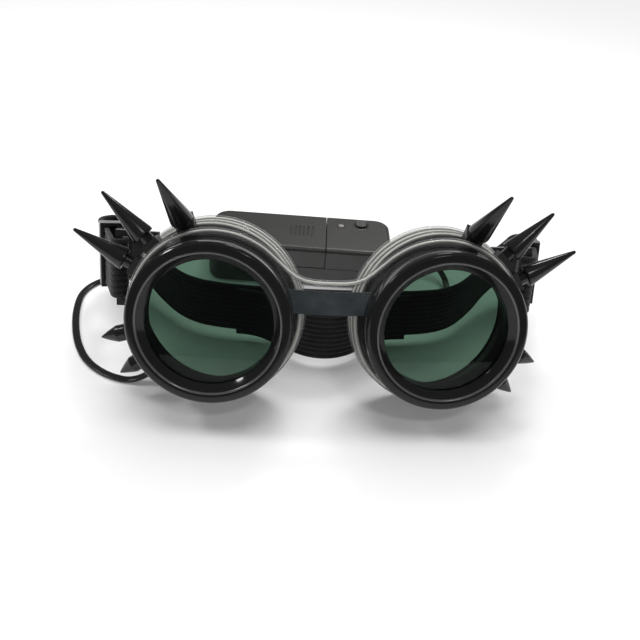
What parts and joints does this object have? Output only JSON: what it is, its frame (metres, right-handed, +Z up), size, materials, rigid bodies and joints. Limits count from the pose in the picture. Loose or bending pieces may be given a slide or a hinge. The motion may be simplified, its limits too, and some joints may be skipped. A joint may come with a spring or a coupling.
{
  "type": "spiked light-up goggles",
  "caption": "Round-lens costume goggles with screw rings, spikes on the temples, a light wire wound on the cups, an elastic headband and a battery pack on a lead.",
  "frame": {"origin": "middle of the object's footprint on the table", "axes": "+X to the right of someone looking at the lenses, -Y the way the lenses face, +Z up"},
  "size_m": [0.216, 0.14, 0.0884],
  "materials": {
    "ring_black": "polished black",
    "lens_green": "dark green tint",
    "gasket_black": "matt",
    "cup_black": "satin black",
    "pad_black": "soft matt",
    "spike_black": "glossy black",
    "block_black": "satin black",
    "screw_steel": "plated",
    "bridge_slate": "woven, cut edges",
    "wire_clear": "clear glossy",
    "cap_clear": "clear glossy",
    "junction_black": "satin",
    "band_black": "ribbed elastic",
    "keeper_black": "satin",
    "pack_black": "fine satin",
    "cell_jacket": "printed jacket",
    "contact_metal": "plated",
    "button_grey": "satin grey",
    "board_green": "lacquered",
    "coil_brown": "varnished",
    "lamp_clear": "clear",
    "lead_black": "semi-gloss"
  },
  "bodies": {
    "goggles": {"battery_cell_front": "cell_jacket", "battery_cell_rear": "cell_jacket", "battery_contacts": "contact_metal", "bridge_strap": "bridge_slate", "case_screws": "screw_steel", "driver_board": "board_green", "driver_coil": "coil_brown", "eye_cup_left": "cup_black", "eye_cup_right": "cup_black", "face_pad_left": "pad_black", "face_pad_right": "pad_black", "headband": "band_black", "headband_tail": "band_black", "large_spike_low_left": "spike_black", "large_spike_low_right": "spike_black", "large_spike_mid_left": "spike_black", "large_spike_mid_right": "spike_black", "large_spike_top_left": "spike_black", "large_spike_top_right": "spike_black", "lead_gland": "lead_black", "light_wire": "wire_clear", "pack_base": "pack_black", "pack_cover": "pack_black", "pack_lamp": "lamp_clear", "small_spike_lower_left": "spike_black", "small_spike_lower_right": "spike_black", "small_spike_upper_left": "spike_black", "small_spike_upper_right": "spike_black", "spike_block_low_left": "block_black", "spike_block_low_right": "block_black", "spike_block_mid_left": "block_black", "spike_block_mid_right": "block_black", "spike_block_top_left": "block_black", "spike_block_top_right": "block_black", "spike_screws_left": "screw_steel", "spike_screws_right": "screw_steel", "strap_end_left": "band_black", "strap_end_right": "band_black", "supply_lead": "lead_black", "wire_end_cap": "cap_clear", "wire_junction": "junction_black"},
    "lens_left": {"lens_left": "lens_green", "lens_gasket_left": "gasket_black"},
    "ring_left": {"lens_ring_left": "ring_black"},
    "keeper_left": {"strap_keeper_left": "keeper_black"},
    "lens_right": {"lens_right": "lens_green", "lens_gasket_right": "gasket_black"},
    "ring_right": {"lens_ring_right": "ring_black"},
    "keeper_right": {"strap_keeper_right": "keeper_black"},
    "battery_door": {"battery_door": "pack_black"},
    "pack_button": {"pack_button": "button_grey"}
  },
  "joints": [
    {"name": "left_lens_slide", "type": "slide", "parent": "goggles", "child": "lens_left", "axis": [-0.0492, -0.9384, 0.342], "range_m": [0, 0.004]},
    {"name": "left_ring_turn", "type": "hinge", "parent": "lens_left", "child": "ring_left", "pos_m": [-0.0434, -0.05995, 0.042], "axis": [-0.0492, -0.9384, 0.342], "range_deg": [0, 725]},
    {"name": "left_keeper_slide", "type": "slide", "parent": "goggles", "child": "keeper_left", "axis": [-0.3285, 0.8897, -0.3171], "range_m": [-0.014, 0.001]},
    {"name": "right_lens_slide", "type": "slide", "parent": "goggles", "child": "lens_right", "axis": [0.0492, -0.9384, 0.342], "range_m": [0, 0.004]},
    {"name": "right_ring_turn", "type": "hinge", "parent": "lens_right", "child": "ring_right", "pos_m": [0.0434, -0.05995, 0.042], "axis": [0.0492, -0.9384, 0.342], "range_deg": [0, 725]},
    {"name": "right_keeper_slide", "type": "slide", "parent": "goggles", "child": "keeper_right", "axis": [0.3285, 0.8897, -0.3171], "range_m": [-0.014, 0.001]},
    {"name": "door_slide", "type": "slide", "parent": "goggles", "child": "battery_door", "axis": [-0.9986, 0.0523, 0], "range_m": [0, 0.055]},
    {"name": "button_press", "type": "slide", "parent": "goggles", "child": "pack_button", "axis": [0, 0, -1], "range_m": [0, 0.001], "stiffness_N_per_m": 600}
  ],
  "couplings": [
    {"joint": "left_ring_turn", "follows": "left_lens_slide", "rad_per_m": 3141.6},
    {"joint": "right_ring_turn", "follows": "right_lens_slide", "rad_per_m": 3141.6}
  ]
}
